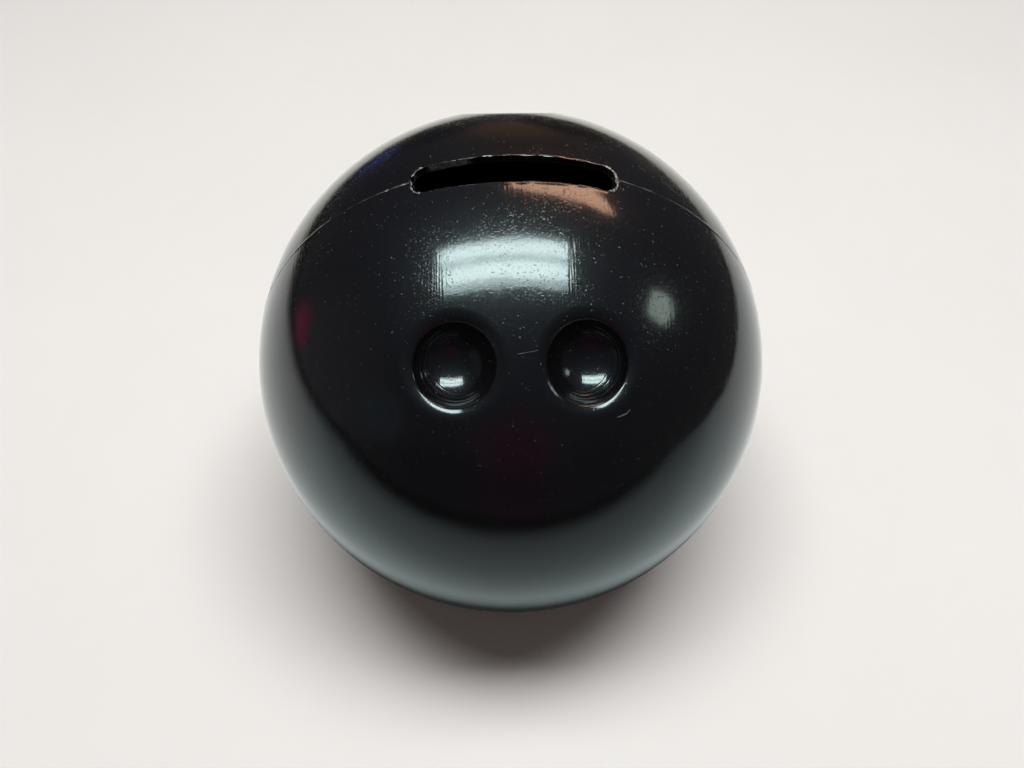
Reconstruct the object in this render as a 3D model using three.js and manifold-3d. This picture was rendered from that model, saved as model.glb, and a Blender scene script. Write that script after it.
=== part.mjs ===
// Coin bank in the shape of a bowling ball, millimetres, +Z up.
// Frame: origin at the centre of the flat foot, on the plane that it stands on.
// -Y is the front (two finger holes), +Y the rear (thumb hole), X runs along the coin slot.
// Two moulded half shells meet on the plane Y = 0; a soft stopper closes the hole underneath.
import * as THREE from 'three';
import { mergeVertices } from 'three/addons/utils/BufferGeometryUtils.js';
import Module from 'manifold-3d';

// ---- driving dimensions ----
const R = 70;                 // ball radius
const WALL = 1.6;             // shell wall
const ZC = 65;                // height of the ball's centre over the foot plane
const SEAM_GAP = 0.3;         // space between the two halves on Y = 0
const RI = R - WALL;          // inner radius

const FOOT_R = 25.2;          // outer radius of the flat foot ring
const RECESS_R = 21;          // recess that takes the stopper's flange
const RECESS_H = 4;           // its depth
const HOLE_R = 17;            // filler hole

const SLOT_HALF = 23.2;       // half length of the coin slot
const SLOT_FRONT = -4.75;     // front edge of the slot
const SLOT_REAR = 4.3;        // rear edge
const SLOT_CORNER = 3.0;      // corner radius

const FINGER_X = 14.05;       // finger holes, each side of the middle
const FINGER_ELEV = 50.8;     // elevation of the mouths, degrees from the front
const FINGER_AXIS = 57;       // elevation of the holes' axes
const THUMB_ELEV = 124.3;     // thumb hole's mouth, behind the pole
const THUMB_AXIS = 118.5;
const MOUTH_R = 8.6;          // hole radius just inside the lip
const LIP_R = 10.4;           // radius at which the rounded lip leaves the ball
const THUMB_EXTRA = 0.3;      // the thumb hole is this much larger in radius
const CUP_DEPTH = 9;          // mouth centre to the middle of the dished floor
const CUP_WALL_DEPTH = 7.5;   // depth of the tapered wall
const CUP_END_R = 6.8;        // wall radius at that depth
const DISH_R = 6.1;           // radius of the dished floor

const TONGUE_Y = 2.6;         // locating tongue: reach into the front half
const TONGUE_T = 1.2;         // and its thickness
const TONGUE_GAP = 0.3;

const FLANGE_R = 20.5;        // stopper
const FLANGE_T = 1.8;
const NECK_R = 16.6;
const NECK_WALL = 2.0;
const BEAD_R = 16.85;
const STOPPER_TOP = 8.2;

const AROUND = 48;            // facets round a full turn of the ball

// ---- helpers ----
const wasm = await Module();
wasm.setup();
const { Manifold, Mesh } = wasm;
const rad = (d) => (d * Math.PI) / 180;

function solid(geometry) {
  let g = geometry.clone();
  g.deleteAttribute('normal');
  g.deleteAttribute('uv');
  g = mergeVertices(g, 1e-4);
  const index = g.index.array;
  const pos = g.attributes.position.array;
  const tris = [];
  for (let i = 0; i < index.length; i += 3) {
    const [a, b, c] = [index[i], index[i + 1], index[i + 2]];
    if (a !== b && b !== c && c !== a) tris.push(a, b, c);
  }
  const volume = (t) => {
    let v = 0;
    for (let i = 0; i < t.length; i += 3) {
      const [a, b, c] = [t[i] * 3, t[i + 1] * 3, t[i + 2] * 3];
      v += pos[a] * (pos[b + 1] * pos[c + 2] - pos[b + 2] * pos[c + 1])
         + pos[a + 1] * (pos[b + 2] * pos[c] - pos[b] * pos[c + 2])
         + pos[a + 2] * (pos[b] * pos[c + 1] - pos[b + 1] * pos[c]);
    }
    return v;
  };
  if (volume(tris) < 0) {
    for (let i = 0; i < tris.length; i += 3) [tris[i + 1], tris[i + 2]] = [tris[i + 2], tris[i + 1]];
  }
  return new Manifold(new Mesh({
    numProp: 3,
    vertProperties: new Float32Array(pos),
    triVerts: new Uint32Array(tris),
  }));
}

function geometryOf(m) {
  const mesh = m.getMesh();
  const g = new THREE.BufferGeometry();
  const n = mesh.vertProperties.length / mesh.numProp;
  const p = new Float32Array(n * 3);
  for (let i = 0; i < n; i++) {
    for (let k = 0; k < 3; k++) p[i * 3 + k] = mesh.vertProperties[i * mesh.numProp + k];
  }
  g.setAttribute('position', new THREE.BufferAttribute(p, 3));
  g.setIndex(new THREE.BufferAttribute(new Uint32Array(mesh.triVerts), 1));
  g.computeVertexNormals();
  return g;
}

// Revolve [r, z] points about +Z.
function turned(points, segments) {
  const g = new THREE.LatheGeometry(points.map(([r, z]) => new THREE.Vector2(r, z)), segments);
  g.rotateX(Math.PI / 2);
  return g;
}

// Revolve [r, h] points about the given axis, h measured along it from the base point.
function turnedAbout(points, segments, base, axis) {
  const g = turned(points, segments);
  const q = new THREE.Quaternion().setFromUnitVectors(new THREE.Vector3(0, 0, 1), axis.clone().normalize());
  g.applyQuaternion(q);
  g.translate(base.x, base.y, base.z);
  return g;
}

function block(x0, x1, y0, y1, z0, z1) {
  const g = new THREE.BoxGeometry(x1 - x0, y1 - y0, z1 - z0);
  g.translate((x0 + x1) / 2, (y0 + y1) / 2, (z0 + z1) / 2);
  return solid(g);
}

// Points of a sphere's meridian of radius r from polar angle a to b (degrees from the top).
function arc(r, a, b, steps) {
  const out = [];
  for (let i = 0; i <= steps; i++) {
    const t = rad(a + ((b - a) * i) / steps);
    out.push([r * Math.sin(t), ZC + r * Math.cos(t)]);
  }
  return out;
}

// ---- the ball as one hollow wall, with its foot, recess and filler hole ----
const footAngle = 180 - (Math.asin(Math.min(1, (FOOT_R + 0.9) / R)) * 180) / Math.PI;
const innerFootAngle = 180 - (Math.acos((ZC - WALL) / RI) * 180) / Math.PI;
const outerArc = [...arc(R, 0, 90, 12), ...arc(R, 90, footAngle, 9).slice(1)];
outerArc[0][0] = 0;
const innerArc = [...arc(RI, innerFootAngle, 90, 9), ...arc(RI, 90, 0, 12).slice(1)];
innerArc[innerArc.length - 1][0] = 0;
const ballProfile = [
  ...outerArc,
  [FOOT_R, 0],
  [RECESS_R, 0],
  [RECESS_R, RECESS_H],
  [HOLE_R, RECESS_H],
  [HOLE_R, RECESS_H + WALL],
  [RECESS_R + WALL, RECESS_H + WALL],
  [RECESS_R + WALL, WALL],
  ...innerArc,
];
let ball = solid(turned(ballProfile, AROUND));

// ---- finger and thumb holes ----
const centre = new THREE.Vector3(0, 0, ZC);
const midWall = solid(turned((() => { const a = arc(R - WALL / 2, 0, 180, 24); a[0][0] = 0; a[24][0] = 0; return a; })(), AROUND));

function direction(elevation, x = 0) {
  // unit vector in the plane X = x / R; elevation from the front (-Y), over the top
  const s = Math.sqrt(1 - (x / R) ** 2);
  return new THREE.Vector3(x / R, -s * Math.cos(rad(elevation)), s * Math.sin(rad(elevation)));
}

function holeSolids(mouth, axis, extra) {
  const at = centre.clone().add(mouth.clone().multiplyScalar(R));
  const mr = MOUTH_R + extra;
  const lr = LIP_R + extra;
  const er = CUP_END_R + extra;
  const top = Math.sqrt(R * R - lr * lr);
  // rounded lip, about the ball's own radius through the mouth
  const lip = turnedAbout([
    [0, R + 3], [lr + 0.5, R + 3], [lr, top],
    [lr - 0.62, top - 0.12], [lr - 1.16, top - 0.42], [lr - 1.56, top - 0.88], [lr - 1.8, top - 1.6],
    [mr - 0.1, top - 3], [0, top - 3],
  ], 24, centre, mouth);
  // tapered hole with a dished floor, about its own axis
  const dish = [];
  for (let i = 0; i <= 4; i++) {
    const r = (DISH_R + extra) * (1 - i / 4);
    dish.push([r, -CUP_DEPTH + (CUP_DEPTH - CUP_WALL_DEPTH - 0.35) * (r / (DISH_R + extra)) ** 2]);
  }
  dish[4][0] = 0;
  const hollow = turnedAbout([
    [0, -1.2], [mr - 0.05, -1.2], [er, -CUP_WALL_DEPTH], ...dish,
  ], 24, at, axis);
  const boss = turnedAbout([
    [0, 2], [mr + WALL, 2], [mr + WALL, -1.5], [er + WALL, -CUP_WALL_DEPTH - 0.6],
    [er + WALL - 1.2, -CUP_DEPTH - WALL + 0.3], [0, -CUP_DEPTH - WALL],
  ], 24, at, axis);
  return { lip: solid(lip), hollow: solid(hollow), boss: solid(boss).intersect(midWall) };
}

const holes = [
  holeSolids(direction(FINGER_ELEV, -FINGER_X), direction(FINGER_AXIS), 0),
  holeSolids(direction(FINGER_ELEV, FINGER_X), direction(FINGER_AXIS), 0),
  holeSolids(direction(THUMB_ELEV), direction(THUMB_AXIS), THUMB_EXTRA),
];
for (const h of holes) ball = ball.add(h.boss);
for (const h of holes) ball = ball.subtract(h.lip).subtract(h.hollow);

// ---- coin slot through the top, across the joint of the halves ----
function slotOutline(grow) {
  const s = new THREE.Shape();
  const x = SLOT_HALF + grow;
  const y0 = SLOT_FRONT - grow;
  const y1 = SLOT_REAR + grow;
  const c = SLOT_CORNER;
  s.moveTo(-x + c, y0);
  s.lineTo(x - c, y0);
  s.absarc(x - c, y0 + c, c, -Math.PI / 2, 0, false);
  s.lineTo(x, y1 - c);
  s.absarc(x - c, y1 - c, c, 0, Math.PI / 2, false);
  s.lineTo(-x + c, y1);
  s.absarc(-x + c, y1 - c, c, Math.PI / 2, Math.PI, false);
  s.lineTo(-x, y0 + c);
  s.absarc(-x + c, y0 + c, c, Math.PI, 1.5 * Math.PI, false);
  return s;
}
const slotBody = new THREE.ExtrudeGeometry(slotOutline(0), { depth: 30, bevelEnabled: false, curveSegments: 5 });
slotBody.translate(0, 0, ZC + R - 20);
ball = ball.subtract(solid(slotBody));

// ---- the two halves ----
const big = 2 * R;
const frontRoom = block(-big, big, -big, -SEAM_GAP / 2, -big, big + ZC);
const rearRoom = block(-big, big, SEAM_GAP / 2, big, -big, big + ZC);
const front = ball.intersect(frontRoom);
let rear = ball.intersect(rearRoom);

// Locating tongue inside the rear half: it reaches into the front half and holds the glued joint true.
function sphereSolid(r) {
  const a = arc(r, 0, 180, 24);
  a[0][0] = 0;
  a[24][0] = 0;
  return solid(turned(a, AROUND));
}
const tongueOuter = RI - TONGUE_GAP;
const tongueHollow = sphereSolid(tongueOuter - TONGUE_T);
const reach = sphereSolid(tongueOuter).intersect(block(-big, big, -TONGUE_Y, SEAM_GAP / 2 + 0.4, -big, big + ZC));
const root = sphereSolid(RI + 0.6).intersect(block(-big, big, SEAM_GAP / 2, TONGUE_Y, -big, big + ZC));
const tongue = reach.add(root).subtract(tongueHollow)
  .subtract(block(-SLOT_HALF - 2.5, SLOT_HALF + 2.5, -big, big, ZC + 20, ZC + big))
  .subtract(block(-FOOT_R - 14, FOOT_R + 14, -big, big, -big, ZC - 20));
rear = rear.add(tongue);

// ---- stopper ----
const flangeTop = RECESS_H - 0.3;
const flangeBottom = flangeTop - FLANGE_T;
const stopperProfile = [
  [0, flangeBottom + 0.5], [12.5, flangeBottom + 0.5], [13.2, flangeBottom],
  [FLANGE_R - 0.5, flangeBottom], [FLANGE_R, flangeBottom + 0.5], [FLANGE_R, flangeTop],
  [NECK_R, flangeTop], [NECK_R, STOPPER_TOP - 1.9], [BEAD_R, STOPPER_TOP - 1.5],
  [BEAD_R, STOPPER_TOP - 1.0], [NECK_R - 0.7, STOPPER_TOP], [NECK_R - NECK_WALL, STOPPER_TOP],
  [NECK_R - NECK_WALL, flangeTop + 0.75], [NECK_R - NECK_WALL - 0.7, flangeTop + 0.05], [0, flangeTop + 0.05],
];
let stopper = solid(turned(stopperProfile, 36));
// pull rib across the dished underside
const rib = new THREE.Shape();
rib.moveTo(-8, -1.25);
rib.lineTo(8, -1.25);
rib.absarc(8, 0, 1.25, -Math.PI / 2, Math.PI / 2, false);
rib.lineTo(-8, 1.25);
rib.absarc(-8, 0, 1.25, Math.PI / 2, 1.5 * Math.PI, false);
const ribBody = new THREE.ExtrudeGeometry(rib, { depth: 2.0, bevelEnabled: false, curveSegments: 6 });
ribBody.translate(0, 0, 0.6);
stopper = stopper.add(solid(ribBody));

// ---- scene graph ----
const shellMaterial = new THREE.MeshStandardMaterial({ color: 0x0d0d0f, roughness: 0.14, metalness: 0 });
const rearMaterial = shellMaterial.clone();
const stopperMaterial = new THREE.MeshStandardMaterial({ color: 0x17171a, roughness: 0.55, metalness: 0 });

function piece(name, body, material) {
  const mesh = new THREE.Mesh(geometryOf(body), material);
  mesh.name = name;
  return mesh;
}

const bank = new THREE.Group();
bank.add(piece('front_shell', front, shellMaterial));
bank.add(piece('rear_shell', rear, rearMaterial));
bank.add(piece('base_stopper', stopper, stopperMaterial));

export default bank;
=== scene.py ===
import math
import bpy
import numpy as np
from mathutils import Matrix, Vector
from mathutils.geometry import delaunay_2d_cdt
from mathutils.kdtree import KDTree


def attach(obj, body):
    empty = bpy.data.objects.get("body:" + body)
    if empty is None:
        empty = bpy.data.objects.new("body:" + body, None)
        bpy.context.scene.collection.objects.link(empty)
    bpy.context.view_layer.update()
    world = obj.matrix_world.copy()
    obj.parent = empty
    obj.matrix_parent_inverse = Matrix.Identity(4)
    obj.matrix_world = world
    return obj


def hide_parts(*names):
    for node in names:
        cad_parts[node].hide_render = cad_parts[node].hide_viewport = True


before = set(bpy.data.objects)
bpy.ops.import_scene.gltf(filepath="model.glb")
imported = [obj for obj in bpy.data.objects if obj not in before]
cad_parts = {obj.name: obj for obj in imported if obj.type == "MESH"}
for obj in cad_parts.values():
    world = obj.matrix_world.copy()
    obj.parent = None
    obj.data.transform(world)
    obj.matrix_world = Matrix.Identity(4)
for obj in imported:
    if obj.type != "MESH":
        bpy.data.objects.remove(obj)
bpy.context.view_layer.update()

# ---------------------------------------------------------------- dimensions
# Millimetres, the same figures as the CAD. Every surface is made about the
# ball's centre and then moved up by ZC.
R = 70.0
WALL = 1.6
RI = R - WALL
ZC = 65.0
RECESS_R, RECESS_H, HOLE_R, PLATE_TOP = 21.0, 4.0, 17.0, 5.6
SLOT_HALF, SLOT_FRONT, SLOT_REAR, SLOT_CORNER = 23.2, 4.75, 4.3, 3.0
FINGER_X, FINGER_ELEV, THUMB_ELEV, THUMB_EXTRA = 14.1, 51.0, 124.3, 0.3
# a finger cup's section: two roll radii of the lip, the slope where they meet,
# the wall's radius, slope and length, the corner and the bowl's curve
LIP_R1, LIP_R2, LIP_DEG = 4.5, 1.2, 26.0
CUP_WALL_R, WALL_DEG, WALL_LEN = 8.80, 84.0, 0.1
CORNER_R, DISH_CURVE = 1.1, 10.0
RIDGES = ((7.9, 0.030), (6.95, 0.026), (6.15, 0.022))
EPS = 0.012          # each half stops this far short of the seam plane
NR = 8               # rows across the thickness of a cut wall
MM = 0.001

rng = np.random.default_rng(20)


def unit(v):
    v = np.asarray(v, float)
    return v / np.linalg.norm(v, axis=-1, keepdims=True)


def direction(elev, x):
    s = math.sqrt(1 - (x / R) ** 2)
    e = math.radians(elev)
    return np.array([x / R, -s * math.cos(e), s * math.sin(e)])


def smooth(a, b, t):
    u = np.clip((np.asarray(t, float) - a) / (b - a), 0, 1)
    return u * u * (3 - 2 * u)


class Waves:
    """A smooth seeded noise in three dimensions: a sum of plane waves, about -1 to 1."""

    def __init__(self, seed, length, count=14, spread=0.6):
        g = np.random.default_rng(seed)
        d = unit(g.normal(size=(count, 3)))
        k = 2 * math.pi / (length * np.exp(g.uniform(-spread, spread, count)))
        self.k = d * k[:, None]
        self.p = g.uniform(0, 2 * math.pi, count)
        self.a = 1.0 / math.sqrt(count / 2)

    def __call__(self, pts):
        return np.sin(np.asarray(pts) @ self.k.T + self.p).sum(-1) * self.a


n_long = Waves(1, 9.0)
n_mid = Waves(2, 2.6)
n_fine = Waves(3, 0.9)
n_grit = Waves(4, 0.42)

# ---------------------------------------------------------------- the slot
FRONT_EDGE = ([-24, -20, -17, -11, 0, 6, 10, 17, 20, 24], [4.42, 4.42, 4.47, 4.86, 4.9, 4.62, 4.6, 4.45, 4.42, 4.42])
REAR_EDGE = ([-24, -18, -8, 4, 14, 24], [4.2, 4.28, 4.36, 4.3, 4.22, 4.2])


def slot_depth(x, side):
    xs, ys = FRONT_EDGE if side == "front" else REAR_EDGE
    return np.interp(x, xs, ys)


def cut_wobble(p, side):
    """How far the hand-trimmed edge of the slot wanders from its outline, in mm."""
    shift = np.array([0, 0, 0]) if side == "front" else np.array([31.0, 17.0, 5.0])
    ends = smooth(19.5, 22.5, np.abs(p[..., 0]))
    return (0.05 * n_long(p + shift) + (0.035 + 0.07 * ends) * n_mid(p + shift)
            + (0.012 + 0.05 * ends) * n_fine(p + shift))


def slot_distance(p, side):
    """Distance outside the slot's edge in plan, in mm. p is in the half where y is negative."""
    h = slot_depth(p[..., 0], side)
    qx = np.abs(p[..., 0]) - (SLOT_HALF - SLOT_CORNER)
    qy = np.abs(p[..., 1]) - (h - SLOT_CORNER)
    out = np.hypot(np.maximum(qx, 0), np.maximum(qy, 0)) + np.minimum(np.maximum(qx, qy), 0) - SLOT_CORNER
    return np.where(p[..., 2] > 0, out, 99.0)


def slot_outline(side, step=0.28):
    """Plan points of the half outline and their outward normals, from the left end to the right end."""
    h0 = float(slot_depth(SLOT_HALF, side))
    pts, nrm = [], []
    y = EPS
    while y < h0 - SLOT_CORNER - step * 0.5:
        pts.append((-SLOT_HALF, -y)); nrm.append((-1, 0)); y += step
    n = max(int(SLOT_CORNER * math.pi / 2 / step), 6)
    for i in range(n + 1):
        a = math.pi / 2 * i / n
        pts.append((-(SLOT_HALF - SLOT_CORNER) - SLOT_CORNER * math.cos(a), -(h0 - SLOT_CORNER) - SLOT_CORNER * math.sin(a)))
        nrm.append((-math.cos(a), -math.sin(a)))
    m = int(2 * (SLOT_HALF - SLOT_CORNER) / step)
    for i in range(1, m):
        x = -(SLOT_HALF - SLOT_CORNER) + 2 * (SLOT_HALF - SLOT_CORNER) * i / m
        pts.append((x, -float(slot_depth(x, side)))); nrm.append((0, -1))
    left = len(pts) - (m - 1)
    for i in range(left - 1, -1, -1):
        pts.append((-pts[i][0], pts[i][1])); nrm.append((-nrm[i][0], nrm[i][1]))
    return np.array(pts, float), np.array(nrm, float)


def on_sphere(xy):
    z = np.sqrt(np.maximum(R * R - (xy ** 2).sum(-1), 0))
    return np.concatenate([xy, z[..., None]], -1)


# ---------------------------------------------------------------- relief of the skin
def seam_height(p):
    """The moulding line: a low rounded bead along the seam, in mm above the sphere."""
    t = np.abs(p[..., 1])
    top = smooth(-20, 66, p[..., 2])
    amp = 0.045 + 0.03 * top + 0.018 * n_mid(p * np.array([1, 0, 1]))
    return amp * (np.exp(-(t / 0.34) ** 2) - 0.55 * np.exp(-(t / 0.07) ** 2))


def relief(p, side):
    """Height of the outer skin above the true sphere at points p on it, in mm."""
    s = slot_distance(p, side) + cut_wobble(p, side)
    ends = smooth(20.0, 22.6, np.abs(p[..., 0])) * (p[..., 2] > 0)
    near = np.exp(-np.maximum(s, 0) / 0.13)
    lip = np.exp(-((s - 0.42) / 0.30) ** 2)
    burr = np.exp(-((s - 0.34) / 0.22) ** 2)
    h = seam_height(p) * (1 - 0.9 * np.exp(-np.maximum(s, 0) / 0.4))
    h = h - (0.07 + 0.03 * n_mid(p)) * near
    h = h + (0.030 + 0.02 * n_mid(p + 9)) * lip * (1 - ends)
    h = h + ends * burr * (0.075 + 0.035 * n_fine(p) + 0.02 * n_grit(p))
    h = h + 0.0016 * n_long(p)
    return h


def skin_points(p, side):
    u = unit(p)
    return u * (R + relief(u * R, side))[..., None]


def skin_normals(p, side):
    u = unit(p)
    ref = np.where(np.abs(u[:, 2:3]) < 0.9, np.array([0, 0, 1.0]), np.array([1.0, 0, 0]))
    t1 = unit(np.cross(ref, u))
    t2 = np.cross(u, t1)
    d = 0.02
    a = skin_points(u * R + t1 * d, side) - skin_points(u * R - t1 * d, side)
    b = skin_points(u * R + t2 * d, side) - skin_points(u * R - t2 * d, side)
    return unit(np.cross(a, b))


# ---------------------------------------------------------------- finger cups
class Cup:
    """One blind finger hole: a broad rolled lip, a short steep wall and a round bowl, turned about its axis."""

    def __init__(self, mouth, extra=0.0, count=168):
        self.a = unit(mouth)
        self.m = self.a * R
        self.count = count
        e1 = unit(np.cross([0, 0, 1.0], self.a))
        e2 = np.cross(self.a, e1)
        f = np.arange(count) * 2 * math.pi / count
        self.e = np.cos(f)[:, None] * e1 + np.sin(f)[:, None] * e2
        wall = CUP_WALL_R + extra
        s = lambda d: math.sin(math.radians(d))
        c = lambda d: math.cos(math.radians(d))
        p0 = -10.0
        for _ in range(20):
            rho0 = wall + LIP_R2 * (s(WALL_DEG) - s(LIP_DEG)) + LIP_R1 * (s(LIP_DEG) - s(p0))
            p0 = -math.degrees(math.asin(rho0 / R))
        self.rho0 = rho0
        pts = [(rho0, R - math.sqrt(R * R - rho0 * rho0))]

        def arc(r, d0, d1, n, hollow=False):
            x, t = pts[-1]
            for k in range(1, n + 1):
                d = d0 + (d1 - d0) * k / n
                if hollow:
                    pts.append((x - r * (s(d0) - s(d)), t + r * (c(d) - c(d0))))
                else:
                    pts.append((x - r * (s(d) - s(d0)), t + r * (c(d0) - c(d))))

        arc(LIP_R1, p0, LIP_DEG, 14)
        arc(LIP_R2, LIP_DEG, WALL_DEG, 14)
        x, t = pts[-1]
        for k in range(1, 4):
            pts.append((x - WALL_LEN * c(WALL_DEG) * k / 3, t + WALL_LEN * s(WALL_DEG) * k / 3))
        x, t = pts[-1]
        dish = DISH_CURVE + extra
        ds = (x - CORNER_R * s(WALL_DEG)) / (dish - CORNER_R)
        dd = math.degrees(math.asin(ds))
        arc(CORNER_R, WALL_DEG, dd, 10, True)
        x, t = pts[-1]
        self.centre_t = t - dish * c(dd)
        self.dish = dish
        # three fine concentric ridges low in the bowl, then the plain dish
        rho_k = list(np.arange(x - 0.3, RIDGES[-1][0] - 0.30, -0.055)) + list(np.linspace(RIDGES[-1][0] - 0.30, 0, 18)[1:-1])
        for rho in rho_k:
            h = sum(hh * math.exp(-((rho - extra - r0) / 0.125) ** 2) for r0, hh in RIDGES)
            d = math.degrees(math.asin(rho / dish))
            pts.append(((dish - h) * s(d), self.centre_t + (dish - h) * c(d)))
        self.pts = pts
        self.depth = self.centre_t + dish
        self.wall = wall

    def ring(self, rho, t):
        return self.m + self.e * rho - self.a * t

    def lip_ring(self, out=0.0):
        rho = self.rho0 + out
        return self.ring(rho, R - math.sqrt(R * R - rho * rho))

    def outer_rows(self):
        return [self.ring(r, t) for r, t in self.pts[1:]], self.m - self.a * self.depth

    def inner_rows(self):
        """The same hole from inside the ball: a smooth boss one wall thickness outside the cup."""
        r0 = self.rho0 * RI / R
        t0 = R - math.sqrt(RI * RI - r0 * r0)
        big = self.dish + WALL
        r1 = self.wall + WALL
        t1 = self.centre_t + math.sqrt(big * big - (r1 - 0.25) ** 2)
        t1 = max(t1, t0 + 1.2)
        rows = []
        for k in range(1, 9):
            u = k / 8
            r = r0 * (1 - u) ** 2 + 2 * (r1 + 0.1) * u * (1 - u) + r1 * u * u
            t = t0 * (1 - u) ** 2 + 2 * (t0 + 0.1) * u * (1 - u) + t1 * u * u
            rows.append(self.ring(r, t))
        t2 = self.centre_t + math.sqrt(big * big - (r1 - 1.2) ** 2)
        for k in range(1, 6):
            u = k / 5
            rows.append(self.ring(r1 - 1.2 * u ** 1.6, t1 + (t2 - t1) * u))
        for k in range(1, 16):
            r = (r1 - 1.2) * (1 - k / 16)
            rows.append(self.ring(r, self.centre_t + math.sqrt(big * big - r * r)))
        return rows, self.m - self.a * (self.centre_t + big)


# ---------------------------------------------------------------- foot profile
def fillet(cx, cz, r, a0, a1, n=5):
    return [(cx + r * math.cos(math.radians(a0 + (a1 - a0) * i / n)), cz + r * math.sin(math.radians(a0 + (a1 - a0) * i / n))) for i in range(n + 1)]


def foot_profile():
    """Radius and height of the foot's section, from the sphere, round the recess and the hole, to the inner sphere."""
    b = -ZC
    fr = 2.5
    cz = b + fr
    cr = math.sqrt((R - fr) ** 2 - cz * cz)
    ang = math.degrees(math.atan2(cz, cr))
    top = (R * math.cos(math.radians(ang)), R * math.sin(math.radians(ang)))
    pts = [(cr + fr * math.cos(math.radians(ang + (-90 - ang) * i / 8)), cz + fr * math.sin(math.radians(ang + (-90 - ang) * i / 8))) for i in range(1, 9)]
    pts += [(cr - 0.3, b), (24.0, b), (22.6, b)]
    pts += fillet(RECESS_R + 0.6, b + 0.6, 0.6, 270, 180)
    pts += [(RECESS_R, b + 2.2)]
    pts += fillet(RECESS_R - 0.5, b + RECESS_H - 0.5, 0.5, 0, 90)
    pts += [(19.0, b + RECESS_H)]
    pts += fillet(HOLE_R + 0.35, b + RECESS_H + 0.35, 0.35, 270, 180)
    pts += [(HOLE_R, b + 4.8)]
    pts += fillet(HOLE_R + 0.35, b + PLATE_TOP - 0.35, 0.35, 180, 90)
    pts += [(20.0, b + PLATE_TOP)]
    pts += fillet(22.0, b + PLATE_TOP - 0.6, 0.6, 90, 0)
    pts += [(22.6, b + 3.5)]
    pts += fillet(23.2, b + 2.27, 0.6, 180, 270)
    pts += [(24.6, b + 1.67)]
    return top, pts


# ---------------------------------------------------------------- one half of the ball
def kd(points):
    t = KDTree(len(points))
    for i, p in enumerate(points):
        t.insert(p, i)
    t.balance()
    return t


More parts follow.
